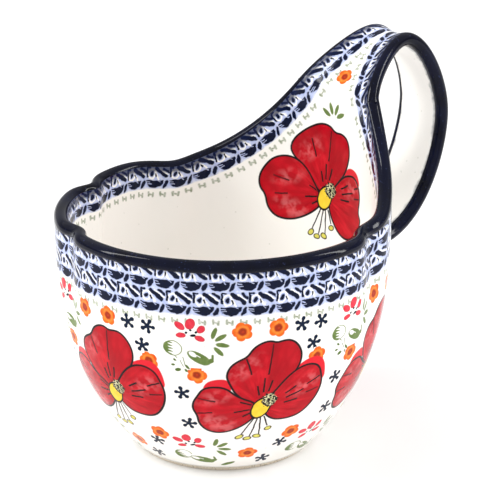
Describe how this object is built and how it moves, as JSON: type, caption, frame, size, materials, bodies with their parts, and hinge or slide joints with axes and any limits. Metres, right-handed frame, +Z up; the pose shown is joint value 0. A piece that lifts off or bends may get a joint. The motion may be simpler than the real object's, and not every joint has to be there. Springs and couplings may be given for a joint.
{
  "type": "loop-handled stoneware mug",
  "caption": "Deep glazed stoneware soup mug with a fluted rim, whose raised back narrows and loops over into a strap handle.",
  "frame": {"origin": "on the table, under the middle of the mug's outline seen from above", "axes": "+X from the cup towards the loop handle, +Y across the mug, +Z up"},
  "size_m": [0.1418, 0.1048, 0.1219],
  "materials": {
    "painted_glaze": "clear gloss glaze over painted and stamped flowers",
    "plain_glaze": "clear gloss glaze",
    "cobalt_glaze": "gloss glaze over a near-black cobalt line",
    "bare_clay": "matt, wiped free of glaze"
  },
  "bodies": {
    "root": {"foot_ring": "bare_clay", "cup_body": "painted_glaze", "rim_band": "cobalt_glaze", "strap_handle": "painted_glaze", "strap_edge_left": "cobalt_glaze", "strap_edge_right": "cobalt_glaze", "strap_pad": "plain_glaze"}
  },
  "joints": []
}
